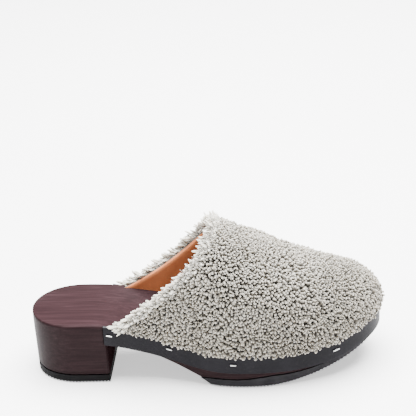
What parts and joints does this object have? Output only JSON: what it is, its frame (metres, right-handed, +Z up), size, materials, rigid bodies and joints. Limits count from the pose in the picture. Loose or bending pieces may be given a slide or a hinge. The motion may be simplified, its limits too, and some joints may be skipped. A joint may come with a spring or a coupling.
{
  "type": "shearling clog",
  "caption": "Backless clog for the right foot: curly grey shearling upper stapled through a dark leather band to a heeled wooden base with rubber treads.",
  "frame": {"origin": "on the floor, in the middle of the heel's length and width", "axes": "+X from heel to toe, +Z up, -Y the outer (lateral) side of this right shoe"},
  "size_m": [0.2523, 0.0994, 0.107],
  "materials": {
    "wood": "satin, dark red-brown stain",
    "rubber": "matt, near black",
    "shearling": "curled shearling, wool side out",
    "leather": "smooth, charcoal",
    "steel": "bright wire"
  },
  "bodies": {
    "root": {"wooden_base": "wood", "heel_tread": "rubber", "forefoot_tread": "rubber", "upper": "shearling", "welt_band": "leather", "staple_lateral_1": "steel", "staple_lateral_2": "steel", "staple_lateral_3": "steel", "staple_lateral_4": "steel", "staple_medial_1": "steel", "staple_medial_2": "steel", "staple_medial_3": "steel", "staple_medial_4": "steel"}
  },
  "joints": []
}
